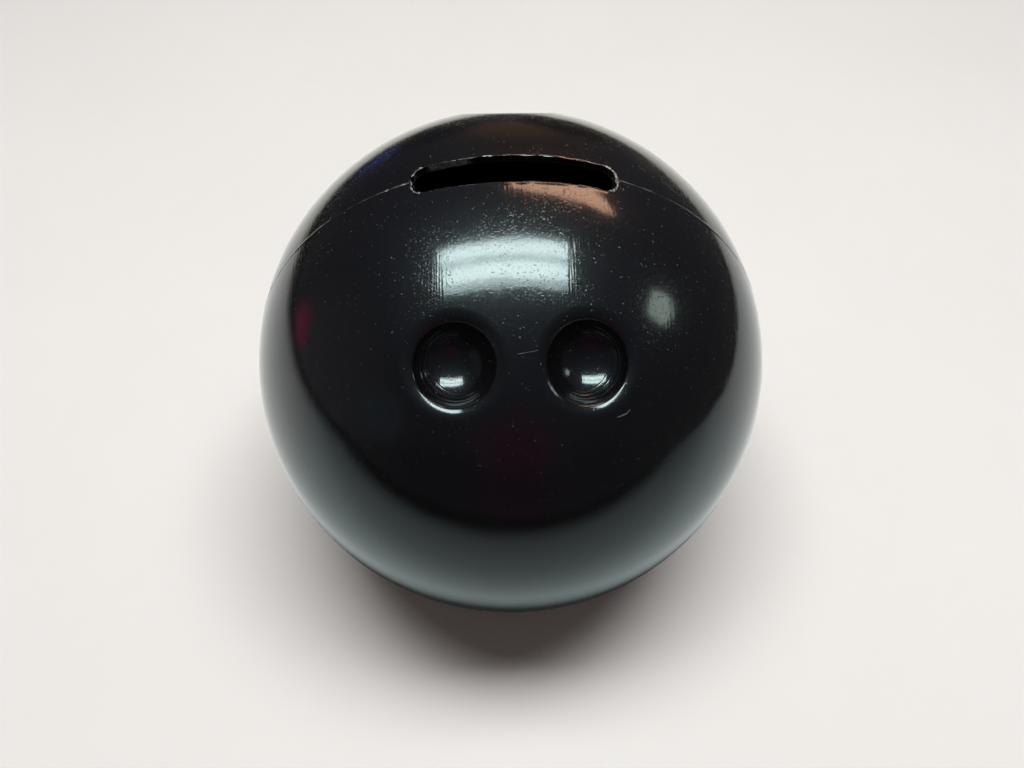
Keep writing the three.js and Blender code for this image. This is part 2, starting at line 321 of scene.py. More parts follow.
def build_half(name, side, cups):
    (fr, fz), profile = foot_profile()
    rho_seam = math.sqrt(R * R - EPS * EPS)

    # the closed edge of the outer skin: foot arc, left seam, slot, right seam
    nf = 120
    a0 = math.asin(EPS / fr)
    fa = np.linspace(-a0, -math.pi + a0, nf + 1)
    foot = np.stack([fr * np.cos(fa), fr * np.sin(fa), np.full(nf + 1, fz)], -1)
    plan, pn = slot_outline(side)
    p3 = on_sphere(plan)
    wob = cut_wobble(p3, side)
    fade = np.ones(len(plan))
    fade[0] = fade[-1] = 0.0
    plan = plan - pn * (wob * fade)[:, None]
    plan[:, 1] = np.minimum(plan[:, 1], -EPS)
    slot = on_sphere(plan)
    top_a = math.atan2(slot[0, 2], slot[0, 0])
    foot_a = math.atan2(fz, -math.sqrt(fr * fr - EPS * EPS)) + 2 * math.pi
    ns = 240
    g = np.linspace(0, 1, ns + 1)[1:-1]
    sa = foot_a + (top_a - foot_a) * g
    left = np.stack([rho_seam * np.cos(sa), np.full(len(sa), -EPS), rho_seam * np.sin(sa)], -1)
    right = left[::-1] * np.array([-1, 1, 1])
    loop = np.concatenate([foot, left, slot, right])
    nloop = len(loop)

    # the lip circles
    rings = [c.lip_ring() for c in cups]

    # graded points: along the seam, round the slot, round each lip, then evenly over the rest
    accepted = np.concatenate([loop] + rings)
    layers = []
    for t in (0.07, 0.14, 0.23, 0.34, 0.48, 0.68, 1.0, 1.6):
        rr = math.sqrt(R * R - t * t)
        a = np.concatenate([sa, math.pi - sa])
        layers.append((np.stack([rr * np.cos(a), np.full(len(a), -t), rr * np.sin(a)], -1), 0.05, "seam"))
    for s in (0.09, 0.18, 0.3, 0.45, 0.62, 0.82, 1.05, 1.35, 1.8, 2.5):
        q = plan + pn * s
        k = 1 if s < 1.0 else 2
        layers.append((on_sphere(q[::k]), 0.075 if s < 1.0 else 0.3, "slot"))
    for s in (0.3, 0.7, 1.2, 1.9):
        for c in cups:
            k = 1 if s < 0.5 else 2
            layers.append((c.lip_ring(s)[::k], 0.2, "lip"))
    for s in (0.8, 1.8):
        a = fa[1:-1:2]
        z = fz + s * fr / R
        layers.append((np.stack([math.sqrt(R * R - z * z) * np.cos(a), math.sqrt(R * R - z * z) * np.sin(a), np.full(len(a), z)], -1), 0.3, "foot"))
    n_fib = int(4 * math.pi * R * R / (1.75 ** 2 * 0.866))
    i = np.arange(n_fib) + 0.5
    zz = 1 - 2 * i / n_fib
    ph = i * math.pi * (3 - math.sqrt(5))
    fib = np.stack([np.sqrt(1 - zz * zz) * np.cos(ph), np.sqrt(1 - zz * zz) * np.sin(ph), zz], -1) * R
    layers.append((fib, 0.95, "fill"))
    for pts, gap, kind in layers:
        keep = (pts[:, 1] < -EPS - 0.04) & (pts[:, 2] > fz + 0.35)
        keep &= slot_distance(pts, side) + cut_wobble(pts, side) > 0.06
        if kind == "fill":
            keep &= pts[:, 1] < -1.9
        for c in cups:
            q = pts - c.m
            ax = q @ c.a
            rad = np.linalg.norm(q - ax[:, None] * c.a, axis=-1)
            keep &= ~((rad < c.rho0 + 0.2) & (np.linalg.norm(q, axis=-1) < 20))
        pts = pts[keep]
        tree = kd(accepted)
        ok = np.array([tree.find(p)[2] > gap for p in pts]) if len(pts) else np.zeros(0, bool)
        accepted = np.concatenate([accepted, pts[ok]])

    # triangles, in the stereographic plane seen from the far side of the seam
    u = unit(accepted)
    uv = np.stack([u[:, 0], u[:, 2]], -1) / (1 - u[:, 1:2])
    edges = [(k, (k + 1) % nloop) for k in range(nloop)]
    base = nloop
    for r in rings:
        edges += [(base + k, base + (k + 1) % len(r)) for k in range(len(r))]
        base += len(r)
    out = delaunay_2d_cdt([Vector(p) for p in uv], edges, [], 0, 1e-9, True)
    verts, tris, orig = out[0], out[2], out[3]
    ids = [o[0] if o else -1 for o in orig]
    if min(ids) < 0 or len(verts) != len(accepted):
        print(name, "warning: the triangulation changed its points", len(verts), len(accepted), ids.count(-1))
    tri = np.array([[ids[a] for a in t] for t in tris if len(t) == 3])
    c2 = uv[tri].mean(1)
    poly = uv[:nloop]
    inside = np.zeros(len(tri), bool)
    x1, y1 = poly[:, 0], poly[:, 1]
    x2, y2 = np.roll(x1, -1), np.roll(y1, -1)
    for k in range(0, len(c2), 4000):
        cx, cy = c2[k:k + 4000, 0:1], c2[k:k + 4000, 1:2]
        cross = ((y1 > cy) != (y2 > cy)) & (cx < (x2 - x1) * (cy - y1) / (y2 - y1 + 1e-30) + x1)
        inside[k:k + 4000] = cross.sum(1) % 2 == 1
    c3 = accepted[tri].mean(1)
    base = nloop
    for r in rings:
        hole = uv[base:base + len(r)]
        hx, hy = np.roll(hole[:, 0], -1), np.roll(hole[:, 1], -1)
        cx, cy = c2[:, 0:1], c2[:, 1:2]
        cross = ((hole[:, 1] > cy) != (hy > cy)) & (cx < (hx - hole[:, 0]) * (cy - hole[:, 1]) / (hy - hole[:, 1] + 1e-30) + hole[:, 0])
        inside &= cross.sum(1) % 2 == 0
        base += len(r)
    tri = tri[inside]
    nrm = np.cross(accepted[tri[:, 1]] - accepted[tri[:, 0]], accepted[tri[:, 2]] - accepted[tri[:, 0]])
    flip = (nrm * c3[inside]).sum(-1) < 0
    tri[flip] = tri[flip][:, ::-1]

    n = len(accepted)
    outer = skin_points(accepted, side)
    outer[:nloop, 1] = np.where(np.abs(accepted[:nloop, 1] + EPS) < 1e-6, -EPS, outer[:nloop, 1])
    outer[:nf + 1] = foot
    inner = accepted * (RI / R)
    on_seam = np.abs(accepted[:, 1] + EPS) < 1e-6
    inner[on_seam, 1] = -EPS

    V = [outer, inner]
    count = 2 * n
    faces, groups = [], []
    faces += [tuple(t) for t in tri.tolist()]
    groups += [0] * len(tri)
    faces += [tuple(t) for t in (tri[:, ::-1] + n).tolist()]
    groups += [1] * len(tri)

    def add(points):
        nonlocal count
        V.append(np.asarray(points, float))
        start = count
        count += len(points)
        return list(range(start, count))

    def ring_strip(a, b, group, reverse=False):
        m = len(a)
        for k in range(m):
            j = (k + 1) % m
            f = (a[k], a[j], b[j], b[k])
            faces.append(f[::-1] if reverse else f)
            groups.append(group)

    # cups
    base = nloop
    cup_ids = []
    for c in cups:
        m = c.count
        first = list(range(base, base + m))
        rows, tip = c.outer_rows()
        prev = first
        start = count
        for r in rows:
            cur = add(r)
            ring_strip(prev, cur, 0)
            prev = cur
        t = add([tip])[0]
        for k in range(m):
            faces.append((prev[k], prev[(k + 1) % m], t)); groups.append(0)
        cup_ids.append((start, count, c))
        prev = [k + n for k in first]
        rows, tip = c.inner_rows()
        for r in rows:
            cur = add(r)
            ring_strip(prev, cur, 1, True)
            prev = cur
        t = add([tip])[0]
        for k in range(m):
            faces.append((prev[(k + 1) % m], prev[k], t)); groups.append(1)
        base += m

    # the cut edge from the outer to the inner skin, along the seams and the slot
    chain = list(range(nf, nloop)) + [0]
    prev = chain
    s0, s1 = nf + 1 + len(left), nf + 1 + len(left) + len(slot)
    wall_start = count
    grit = np.random.default_rng(5 if side == "front" else 6)
    cols = [[k] for k in chain]
    for row in range(1, NR):
        f = row / NR
        q = outer[chain] * (1 - f) + inner[chain] * f
        # the slot's wall is scraped: its points wander a little in and out
        w = np.array([s0 < k < s1 - 1 for k in chain])
        pl = np.zeros((len(chain), 3))
        pl[w, :2] = pn[[k - s0 for k, ww in zip(chain, w) if ww]]
        rough = 0.03 * n_fine(q * np.array([1, 1, 2.5]) + 3) + 0.02 * n_grit(q)
        q = q + pl * (rough * math.sin(math.pi * f))[:, None]
        q[np.array([not ww for ww in w]), 1] = -EPS
        cur = add(q)
        for k, c_ in enumerate(cur):
            cols[k].append(c_)
    for k in range(len(chain)):
        cols[k].append(chain[k] + n)
    wall_end = count
    for k in range(len(chain) - 1):
        is_slot = s0 <= chain[k] and chain[k + 1] < s1 and chain[k + 1] != 0
        for r in range(NR):
            faces.append((cols[k][r], cols[k + 1][r], cols[k + 1][r + 1], cols[k][r + 1]))
            groups.append(3 if is_slot else 4)

    # the foot
    prev = list(range(nf + 1))
    foot_cols_a, foot_cols_b = [prev[0]], [prev[-1]]
    foot_start = count
    for (r, z) in profile:
        a0 = math.asin(EPS / r)
        a = np.linspace(-a0, -math.pi + a0, nf + 1)
        cur = add(np.stack([r * np.cos(a), r * np.sin(a), np.full(nf + 1, z)], -1))
        for k in range(nf):
            faces.append((prev[k], prev[k + 1], cur[k + 1], cur[k])); groups.append(2)
        foot_cols_a.append(cur[0]); foot_cols_b.append(cur[-1])
        prev = cur
    last = [k + n for k in range(nf + 1)]
    for k in range(nf):
        faces.append((prev[k], prev[k + 1], last[k + 1], last[k])); groups.append(2)
    # the two ends of the foot's section, flat on the seam plane
    ring_a = foot_cols_a + cols[-1][::-1]
    ring_a = ring_a[:len(foot_cols_a)] + [v for v in cols[-1][::-1] if v != foot_cols_a[0]]
    faces.append(tuple(ring_a)); groups.append(4)
    ring_b = foot_cols_b + [v for v in cols[0][::-1] if v != foot_cols_b[0]]
    faces.append(tuple(ring_b[::-1])); groups.append(4)

    V = np.concatenate(V)
    groups = np.array(groups)

    # whitened, torn plastic: the ends of the slot, its edges, and the moulding line; along the slot's edges the pale
    # line is partly whitened plastic and partly a painted highlight on the rounded rim
    worn_and_rim_highlight = np.zeros(len(V))
    rad = np.linalg.norm(V, axis=1)
    skin = rad > RI - 0.5
    p = V.copy()
    s = slot_distance(p, side)
    ends = smooth(20.2, 22.0, np.abs(p[:, 0])) * (p[:, 2] > 0)
    # painted highlight: the thin pale line along the slot's rim, partly whitened cut plastic
    edge = np.exp(-(np.maximum(s, 0) / 0.15) ** 2) * (s < 3)
    wide = 0.36 + 0.14 * n_mid(p) + 0.42 * smooth(19, 23, V[:, 0])
    worn_and_rim_highlight = np.maximum(worn_and_rim_highlight, ends * smooth(wide, wide * 0.45, np.maximum(s, 0)) * (0.62 + 0.30 * n_fine(p)))
    bright = smooth(-0.35, 0.6, n_long(p + 4))
    worn_and_rim_highlight = np.maximum(worn_and_rim_highlight, edge * (0.16 + 0.42 * bright))
    # below the edge the wall stays dark, apart from where a knife pared it
    cut = rad < R - 0.12
    pared = smooth(-20.5, -18.5, V[:, 0]) * smooth(-8.5, -11.5, V[:, 0]) if side == "rear" else 0.0
    worn_and_rim_highlight = np.where(cut, np.maximum(worn_and_rim_highlight * (0.05 + 0.08 * ends), 0.48 * pared), worn_and_rim_highlight)
    t = np.abs(V[:, 1])
    along = np.exp(-np.maximum(np.abs(V[:, 0]) - SLOT_HALF, 0) / 13.0) * (V[:, 2] > 0)
    line = np.exp(-(t / 0.26) ** 2) * (0.01 + 0.38 * along + 0.04 * n_mid(p * np.array([1, 0, 1])))
    worn_and_rim_highlight = np.maximum(worn_and_rim_highlight, line)
    near = (np.abs(V[:, 0]) < 25.0) & (np.abs(V[:, 1]) < 11.0) & (V[:, 2] > 0)
    worn_and_rim_highlight = np.where(near | (t < 1.2), worn_and_rim_highlight, 0.0)
    worn_and_rim_highlight = np.clip(worn_and_rim_highlight, 0, 1) * skin

    if side == "rear":
        V = V * np.array([1, -1, 1])
        faces = [f[::-1] for f in faces]

    me = bpy.data.meshes.new(name)
    me.from_pydata(((V + np.array([0, 0, ZC])) * MM).tolist(), [], faces)
    me.update()

    # normals: exact on the skin, averaged inside each other group, so real edges stay sharp
    nf_ = len(me.polygons)
    fn = np.zeros(nf_ * 3); me.polygons.foreach_get("normal", fn); fn = fn.reshape(-1, 3)
    ar = np.zeros(nf_); me.polygons.foreach_get("area", ar)
    lv = np.zeros(len(me.loops), int); me.loops.foreach_get("vertex_index", lv)
    lt = np.zeros(nf_, int); me.polygons.foreach_get("loop_total", lt)
    lf = np.repeat(np.arange(nf_), lt)
    lg = groups[lf]
    loopn = np.zeros((len(lv), 3))
    mirror = np.array([1, -1, 1]) if side == "rear" else np.ones(3)
    for gr in range(5):
        sel = lg == gr
        acc = np.zeros((len(V), 3))
        np.add.at(acc, lv[sel], fn[lf[sel]] * ar[lf[sel], None])
        if gr == 0:
            acc[:n] = skin_normals(accepted, side) * mirror
        if gr == 2:
            acc[:nf + 1] = unit(accepted[:nf + 1]) * mirror
        if gr == 1:
            acc[n:2 * n][nloop + sum(c.count for c in cups):] = -unit(accepted[nloop + sum(c.count for c in cups):]) * mirror
        ln = np.linalg.norm(acc, axis=1, keepdims=True)
        acc = acc / np.maximum(ln, 1e-12)
        loopn[sel] = acc[lv[sel]]
    me.polygons.foreach_set("use_smooth", np.ones(nf_, bool))
    inside = np.zeros(len(V))
    inside[[v for f, k in zip(faces, groups) if k == 1 for v in f]] = 1.0
    at = me.attributes.new("inside", "FLOAT", "POINT")
    at.data.foreach_set("value", inside.astype(np.float32))
    # this attribute carries the whitened plastic and the painted highlight along the slot's rim
    at = me.attributes.new("worn_and_rim_highlight", "FLOAT", "POINT")
    at.data.foreach_set("value", worn_and_rim_highlight.astype(np.float32))
    me.normals_split_custom_set(loopn.tolist())
    me.update()
    ob = bpy.data.objects.new(name, me)
    bpy.context.scene.collection.objects.link(ob)
    print(name, "verts", len(V), "faces", nf_)
    return ob


front_cups = [Cup(direction(FINGER_ELEV, -FINGER_X - 0.25)), Cup(direction(FINGER_ELEV, FINGER_X + 0.6))]
rear_cups = [Cup(direction(180 - THUMB_ELEV, 0), THUMB_EXTRA)]
print("cup depth", front_cups[0].depth, "lip", front_cups[0].rho0)
front = build_half("front_shell_skin", "front", front_cups)
rear = build_half("rear_shell_skin", "rear", rear_cups)

# ---------------------------------------------------------------- base stopper
FLANGE_R, FLANGE_BOTTOM, FLANGE_TOP, NECK_R, BEAD_R, STOPPER_TOP = 20.5, 1.9, 3.7, 16.6, 16.85, 8.2


def rib_distance(x, y):
    return np.hypot(np.maximum(np.abs(x) - 8.0, 0), y) - 1.25


def underside(x, y):
    """Height of the stopper's underside: a shallow dish with a rounded finger rib across it."""
    r = np.hypot(x, y)
    z = FLANGE_BOTTOM + 0.5 * smooth(12.75, 12.05, r)
    return z - (z - 0.6) * smooth(0.30, -0.55, rib_distance(x, y))


def build_stopper(name):
    cols = 144
    f = np.arange(cols) * 2 * math.pi / cols
    edge = 13.1
    pts = [np.stack([edge * np.cos(f), edge * np.sin(f)], -1)]
    for r in (12.9, 12.75, 12.6, 12.45, 12.3, 12.15, 12.0, 11.7):
        pts.append(np.stack([r * np.cos(f), r * np.sin(f)], -1))
    for s in (-0.95, -0.7, -0.55, -0.45, -0.35, -0.25, -0.15, -0.05, 0.05, 0.15, 0.25, 0.4, 0.7):
        rr = 1.25 + s
        m = max(int(rr * math.pi / 0.16), 5)
        a = np.linspace(-math.pi / 2, math.pi / 2, m + 1)
        xs = np.linspace(-8, 8, 70)[1:-1]
        pts.append(np.concatenate([
            np.stack([8 + rr * np.cos(a), rr * np.sin(a)], -1), np.stack([-8 - rr * np.cos(a), rr * np.sin(a)], -1),
            np.stack([xs, np.full(len(xs), rr)], -1), np.stack([xs, np.full(len(xs), -rr)], -1)]))
    xs = np.linspace(-8, 8, 70)
    pts.append(np.stack([xs, np.zeros(70)], -1))
    i = np.arange(900) + 0.5
    rr = 11.5 * np.sqrt(i / 900)
    spiral = np.stack([rr * np.cos(i * 2.39996), rr * np.sin(i * 2.39996)], -1)
    spiral = spiral[np.abs(rib_distance(spiral[:, 0], spiral[:, 1]) + 0.12) > 1.0]
    pts.append(spiral)
    p = np.concatenate(pts)
    out = delaunay_2d_cdt([Vector(q) for q in p], [(k, (k + 1) % cols) for k in range(cols)], [], 1, 1e-6, True)
    q = np.array([tuple(v) for v in out[0]])
    ids = out[3]
    V = [np.stack([q[:, 0], q[:, 1], underside(q[:, 0], q[:, 1])], -1)]
    order = {}
    for k, o in enumerate(ids):
        for s in o:
            if s < cols:
                order[s] = k
    first = [order[k] for k in range(cols)]
    faces = []
    for t in out[2]:
        a, b, c = (q[v] for v in t[:3])
        up = (b[0] - a[0]) * (c[1] - a[1]) - (b[1] - a[1]) * (c[0] - a[0])
        faces.append(tuple(t) if up < 0 else tuple(t[::-1]))
    count = len(q)
    prof = [(13.6, 1.9), (16.0, 1.9), (19.0, 1.9)]
    prof += fillet(FLANGE_R - 0.6, 2.5, 0.6, 270, 360)
    prof += [(FLANGE_R, 2.9)]
    prof += fillet(FLANGE_R - 0.45, FLANGE_TOP - 0.45, 0.45, 0, 90)
    prof += [(18.4, FLANGE_TOP)]
    prof += fillet(NECK_R + 0.35, FLANGE_TOP + 0.35, 0.35, 270, 180)
    prof += [(NECK_R, 5.2), (NECK_R, 6.3), (NECK_R + 0.06, 6.5), (BEAD_R - 0.05, 6.72), (BEAD_R, 6.85), (BEAD_R, 7.05), (BEAD_R - 0.05, 7.18), (NECK_R + 0.02, 7.45), (NECK_R - 0.1, 7.75)]
    prof += fillet(NECK_R - 0.5, STOPPER_TOP - 0.4, 0.4, 15, 90)
    prof += [(15.5, STOPPER_TOP)]
    prof += fillet(15.0, STOPPER_TOP - 0.4, 0.4, 90, 180)
    prof += [(14.6, 6.0)]
    prof += fillet(14.0, 4.35, 0.6, 0, -90)
    prof += [(12.0, 3.75), (8.0, 3.75), (4.0, 3.75)]
    prev = first
    for r, z in prof:
        V.append(np.stack([r * np.cos(f), r * np.sin(f), np.full(cols, z)], -1))
        cur = list(range(count, count + cols)); count += cols
        for k in range(cols):
            j = (k + 1) % cols
            faces.append((prev[k], prev[j], cur[j], cur[k]))
        prev = cur
    V.append(np.array([[0, 0, 3.75]]))
    for k in range(cols):
        faces.append((prev[k], prev[(k + 1) % cols], count))
    V = np.concatenate(V)
    me = bpy.data.meshes.new(name)
    me.from_pydata((V * MM).tolist(), [], faces)
    me.polygons.foreach_set("use_smooth", np.ones(len(me.polygons), bool))
    me.update()
    ob = bpy.data.objects.new(name, me)
    bpy.context.scene.collection.objects.link(ob)
    return ob


def build_tongue(name):
    """The locating tongue inside the rear half: two bands along the seam that reach past it behind the front half."""
    V, faces = [], []
    count = 0
    sec = [(68.55, 2.6), (68.55, 0.25), (68.1, 0.1), (68.1, -2.3), (67.8, -2.6), (67.2, -2.6), (66.9, -2.3), (66.9, 2.3), (67.2, 2.6)]
    for sgn in (1, -1):
        a = np.linspace(math.radians(-54.2), math.radians(67.4), 122)
        rows = []
        for t in a:
            row = [(sgn * r * math.cos(t), y, r * math.sin(t) + ZC) for r, y in sec]
            V += row
            rows.append(list(range(count, count + len(sec)))); count += len(sec)
        for i in range(len(rows) - 1):
            for j in range(len(sec)):
                k = (j + 1) % len(sec)
                q = (rows[i][j], rows[i][k], rows[i + 1][k], rows[i + 1][j])
                faces.append(q if sgn > 0 else q[::-1])
        faces.append(tuple(rows[0][::-1]) if sgn > 0 else tuple(rows[0]))
        faces.append(tuple(rows[-1]) if sgn > 0 else tuple(rows[-1][::-1]))
    me = bpy.data.meshes.new(name)
    me.from_pydata((np.array(V) * MM).tolist(), [], faces)
    me.update()
    ob = bpy.data.objects.new(name, me)
    bpy.context.scene.collection.objects.link(ob)
    return ob


stopper = build_stopper("base_stopper_moulding")
tongue = build_tongue("rear_shell_tongue")


# ---------------------------------------------------------------- materials
class Nodes:
    """Short calls for building a node tree."""

    def __init__(self, mat):
        mat.use_nodes = True
        self.t = mat.node_tree
        self.t.nodes.clear()
        self.out = self.t.nodes.new("ShaderNodeOutputMaterial")

    def add(self, kind, **props):
        n = self.t.nodes.new(kind)
        for k, v in props.items():
            setattr(n, k, v)
        return n

    def link(self, a, b):
        self.t.links.new(a, b)

    def put(self, socket, value):
        if isinstance(value, bpy.types.NodeSocket):
            self.t.links.new(value, socket)
        elif value is not None:
            socket.default_value = value

    def math(self, op, a, b=None, c=None, clamp=False):
        n = self.add("ShaderNodeMath", operation=op, use_clamp=clamp)
        for s, v in zip(n.inputs, (a, b, c)):
            self.put(s, v)
        return n.outputs[0]

    def vec(self, op, a, b=None, scale=None):
        n = self.add("ShaderNodeVectorMath", operation=op)
        self.put(n.inputs[0], a)
        if b is not None:
            self.put(n.inputs[1], b)
        if scale is not None:
            self.put(n.inputs["Scale"], scale)
        return n.outputs["Value"] if op in ("LENGTH", "DISTANCE", "DOT_PRODUCT") else n.outputs["Vector"]

    def ramp(self, v, a, b, lo=0.0, hi=1.0, kind="SMOOTHSTEP"):
        n = self.add("ShaderNodeMapRange", interpolation_type=kind)
        for s, x in zip(n.inputs[:5], (v, a, b, lo, hi)):
            self.put(s, x)
        return n.outputs["Result"]

    def noise(self, v, scale, detail=2.0, rough=0.5, lac=2.0):
        n = self.add("ShaderNodeTexNoise")
        self.put(n.inputs["Vector"], v)
        n.inputs["Scale"].default_value = scale
        n.inputs["Detail"].default_value = detail
        n.inputs["Roughness"].default_value = rough
        n.inputs["Lacunarity"].default_value = lac
        return n.outputs["Fac"]

    def mix(self, f, a, b):
        n = self.add("ShaderNodeMix", data_type="RGBA")
        self.put(n.inputs["Factor"], f)
        self.put(n.inputs[6], a)
        self.put(n.inputs[7], b)
        return n.outputs[2]

    def bump(self, height, distance, normal=None, strength=1.0):
        n = self.add("ShaderNodeBump")
        n.inputs["Distance"].default_value = distance
        n.inputs["Strength"].default_value = strength
        self.put(n.inputs["Height"], height)
        if normal is not None:
            self.put(n.inputs["Normal"], normal)
        return n.outputs["Normal"]


def millimetres(g, offset=(0, 0, 0)):
    tc = g.add("ShaderNodeTexCoord")
    p = g.vec("SCALE", tc.outputs["Object"], scale=1000.0)
    return g.vec("ADD", p, tuple(offset))


def specks(g, p, pitch, radius, share, soft=0.35):
    """Round dust specks: one possible speck in each Voronoi cell of that pitch, kept for that share of the cells."""
    v = g.add("ShaderNodeTexVoronoi", feature="F1")
    g.put(v.inputs["Vector"], p)
    v.inputs["Scale"].default_value = 1.0 / pitch
    sep = g.add("ShaderNodeSeparateColor")
    g.link(v.outputs["Color"], sep.inputs[0])
    size = g.ramp(sep.outputs[0], 1.0 - share, 1.0, 0.0, radius / pitch, "LINEAR")
    d = g.math("SUBTRACT", size, v.outputs["Distance"])
    return g.math("MULTIPLY", g.ramp(d, 0.0, soft * radius / pitch), g.ramp(sep.outputs[1], 0.0, 1.0, 0.35, 1.0))


def stroke(g, p, a, b, width, bend=0.0):
    """A straight scratch between two points on the ball, in mm."""
    a, b = np.array(a, float), np.array(b, float)
    ab = b - a
    L = float(np.linalg.norm(ab))
    d = ab / L
    pa = g.vec("SUBTRACT", p, tuple(a))
    t = g.vec("DOT_PRODUCT", pa, tuple(d))
    tc = g.math("MINIMUM", g.math("MAXIMUM", t, 0.0), L)
    n = g.add("ShaderNodeVectorMath", operation="SCALE")
    n.inputs[0].default_value = tuple(d)
    g.put(n.inputs["Scale"], tc)
    off = g.vec("SUBTRACT", pa, n.outputs["Vector"])
    dist = g.vec("LENGTH", off)
    return g.ramp(dist, width, width * 0.3)


def shell_material(name, offset, cups, strokes):
    mat = bpy.data.materials.new(name)
    g = Nodes(mat)
    p = millimetres(g)
    q = g.vec("ADD", p, tuple(offset))
    centre = g.vec("SUBTRACT", p, (0, 0, ZC))
    sep = g.add("ShaderNodeSeparateXYZ")
    g.link(centre, sep.inputs[0])
    up = g.math("DIVIDE", sep.outputs[2], R)

    # the plastic: black and glossy, a little uneven from handling
    cloud = g.noise(q, 0.05, 5.0, 0.6)
    haze = g.noise(q, 0.33, 4.0, 0.65)
    rough = g.math("ADD", g.ramp(cloud, 0.35, 0.68, 0.0, 0.02), g.ramp(haze, 0.42, 0.74, 0.098, 0.125))
    tint = g.mix(cloud, (0.0013, 0.0009, 0.0013, 1), (0.0022, 0.0019, 0.0023, 1))
    top = g.ramp(up, 0.25, 0.92, 0.12, 1.0)

    # slow unevenness, orange peel, and faint drawn lines running front to back
    peel = g.math("ADD", g.noise(q, 0.95, 1.0), g.math("MULTIPLY", g.noise(q, 0.26, 0.0), 1.6))
    nrm = g.bump(peel, 0.0000070)
    lines = g.noise(g.vec("MULTIPLY", q, (2.2, 0.12, 0.04)), 1.0, 0.0)
    lines = g.math("MULTIPLY", lines, g.ramp(g.noise(q, 0.09, 1.0), 0.42, 0.60, 0.30, 1.0))
    nrm = g.bump(g.math("MULTIPLY", lines, top), 0.0000195, nrm)

    # small raised grains, thickest on the upper side: they glint round the lamp's image
    where = g.ramp(g.noise(g.vec("ADD", q, (40, 9, 3)), 0.11, 3.0), 0.34, 0.62, 0.30, 1.0)
    n1 = g.noise(g.vec("ADD", q, (7.3, 2.1, 5.7)), 1.5, 1.0, 0.4)
    n2 = g.noise(g.vec("ADD", q, (17.3, 12.1, 1.7)), 2.6, 0.0)
    grain = g.math("ADD", g.math("MULTIPLY", g.ramp(n1, 0.670, 0.86), 2.2), g.math("MULTIPLY", g.ramp(n2, 0.655, 0.86), 1.5))
    pits = g.math("MULTIPLY", grain, g.math("MULTIPLY", top, where))
    nrm = g.bump(pits, 0.0000135, nrm)

    # a little pale dust lying on top of it
    n3 = g.noise(g.vec("ADD", q, (3.1, 8.8, 0.7)), 2.1, 0.0)
    n4 = g.noise(g.vec("ADD", q, (9.3, 4.1, 15.7)), 0.9, 0.0)
    dust = g.math("MULTIPLY", g.ramp(n3, 0.755, 0.82), g.math("MULTIPLY", g.ramp(n4, 0.55, 0.63), top))

    marks = None
    for s in strokes:
        m = g.math("MULTIPLY", stroke(g, p, s[0], s[1], s[2]), s[3])
        marks = m if marks is None else g.math("MAXIMUM", marks, m)
    if marks is None:
        marks = 0.0

    # whitened plastic where the slot was cut and along the moulding line, and a painted highlight along the slot's rim
    att = g.add("ShaderNodeAttribute", attribute_type="GEOMETRY", attribute_name="worn_and_rim_highlight")
    w = att.outputs["Fac"]
    tear = g.noise(q, 1.7, 4.0, 0.7)
    w = g.math("MULTIPLY", w, g.ramp(tear, 0.28, 0.66, 0.25, 1.35))
    w = g.ramp(w, 0.08, 0.85, 0.0, 1.0, "LINEAR")

    # the unpolished inside
    att = g.add("ShaderNodeAttribute", attribute_type="GEOMETRY", attribute_name="inside")
    inner = att.outputs["Fac"]
    tint = g.mix(inner, tint, (0.030, 0.030, 0.031, 1))
    rough = g.math("ADD", rough, g.math("MULTIPLY", inner, 0.35))
    # the pale colour: dust, scuffs, whitened plastic and the painted highlight along the slot's rim
    pale = g.math("MAXIMUM", g.math("MULTIPLY", dust, 0.13), g.math("MAXIMUM", g.math("MULTIPLY", w, 0.62), marks))
    colour = g.mix(pale, tint, (0.44, 0.455, 0.44, 1))
    rough = g.math("ADD", rough, g.math("MULTIPLY", g.math("MAXIMUM", dust, w), 0.42), clamp=True)
    nrm = g.bump(g.math("MULTIPLY", g.noise(q, 3.0, 4.0, 0.7), w), 0.00009, nrm)

    b = g.add("ShaderNodeBsdfPrincipled")
    g.put(b.inputs["Base Color"], colour)
    g.put(b.inputs["Roughness"], rough)
    b.inputs["IOR"].default_value = 1.5
    g.put(b.inputs["Normal"], nrm)
    # the broad, weak part of the gloss
    b.inputs["Coat Weight"].default_value = 0.124
    b.inputs["Coat Roughness"].default_value = 0.42
    b.inputs["Coat IOR"].default_value = 1.5
    g.put(b.inputs["Coat Normal"], nrm)
    g.link(b.outputs[0], g.out.inputs[0])
    return mat


def vinyl_material(name):
    mat = bpy.data.materials.new(name)
    g = Nodes(mat)
    p = millimetres(g)
    cloud = g.noise(p, 0.12, 4.0, 0.6)
    grain = g.noise(p, 2.4, 3.0, 0.6)
    scuff = g.ramp(g.noise(g.vec("MULTIPLY", p, (1.4, 0.35, 1.0)), 1.0, 4.0, 0.7), 0.58, 0.74)
    colour = g.mix(g.math("MULTIPLY", scuff, 0.45), g.mix(cloud, (0.012, 0.012, 0.013, 1), (0.022, 0.022, 0.023, 1)), (0.10, 0.10, 0.10, 1))
    rough = g.math("ADD", g.ramp(grain, 0.3, 0.7, 0.46, 0.60), g.math("MULTIPLY", scuff, 0.15))
    nrm = g.bump(grain, 0.000018)
    nrm = g.bump(cloud, 0.00006, nrm)
    b = g.add("ShaderNodeBsdfPrincipled")
    g.put(b.inputs["Base Color"], colour)
    g.put(b.inputs["Roughness"], rough)
    b.inputs["IOR"].default_value = 1.49
    g.put(b.inputs["Normal"], nrm)
    g.link(b.outputs[0], g.out.inputs[0])
    return mat


